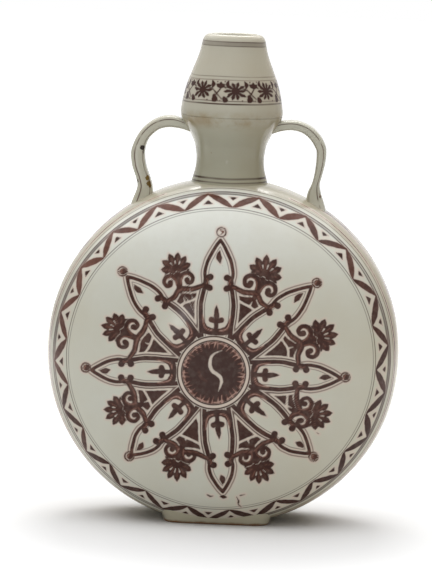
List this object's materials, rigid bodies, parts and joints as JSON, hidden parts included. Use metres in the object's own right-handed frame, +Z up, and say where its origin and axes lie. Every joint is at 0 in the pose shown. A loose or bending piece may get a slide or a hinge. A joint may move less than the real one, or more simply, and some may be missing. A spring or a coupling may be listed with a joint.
{
  "type": "pilgrim flask",
  "caption": "Moon-shaped ceramic flask: a round flattened body on a low foot, a neck with a swelling bulb and a narrow mouth, and strap handles from neck to shoulder.",
  "frame": {"origin": "on the table, under the middle of the foot", "axes": "+Z up along the neck, +X to the right handle as seen from the front, +Y from the front face to the rear face"},
  "size_m": [0.2164, 0.114, 0.3],
  "materials": {
    "face_glaze": "pale grey-green glossy glaze over a painted copper-red and iron-brown ornament",
    "neck_glaze": "pale olive-grey glossy glaze over painted bands",
    "handle_glaze": "pale grey-green glossy glaze with brown lines along the edges",
    "foot_clay": "thin cream glaze with a bare iron-brown edge"
  },
  "bodies": {
    "root": {"front_half": "face_glaze", "rear_half": "face_glaze", "foot_ring": "foot_clay", "lower_neck": "neck_glaze", "neck_bulb": "neck_glaze", "left_handle": "handle_glaze", "right_handle": "handle_glaze"}
  },
  "joints": []
}
